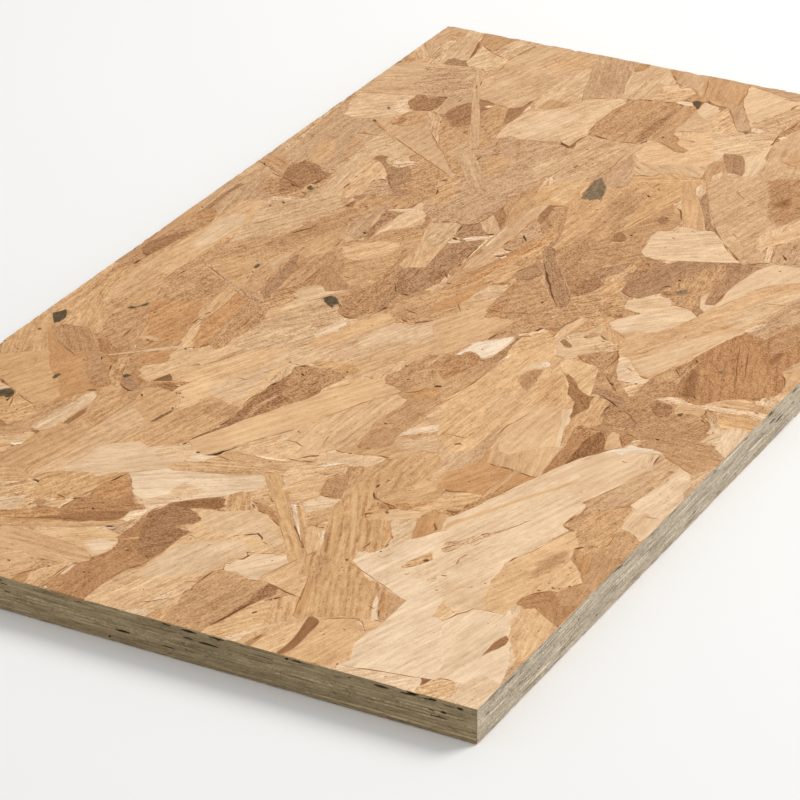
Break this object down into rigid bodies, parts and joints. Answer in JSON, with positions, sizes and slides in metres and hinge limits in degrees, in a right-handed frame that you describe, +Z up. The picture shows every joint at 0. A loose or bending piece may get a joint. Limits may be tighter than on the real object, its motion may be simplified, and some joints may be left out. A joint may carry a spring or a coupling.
{
  "type": "oriented strand board panel",
  "caption": "Flat rectangular panel of pressed wood strands with sawn square edges, laid or fixed as sheathing, decking or shelving stock.",
  "frame": {"origin": "middle of the panel's underside", "axes": "+X along the length and the main run of the face strands, +Y across the width, +Z up through the thickness"},
  "size_m": [0.685, 0.38, 0.018],
  "materials": {
    "strand_board": "matte"
  },
  "bodies": {
    "root": {"osb_panel": "strand_board"}
  },
  "joints": []
}
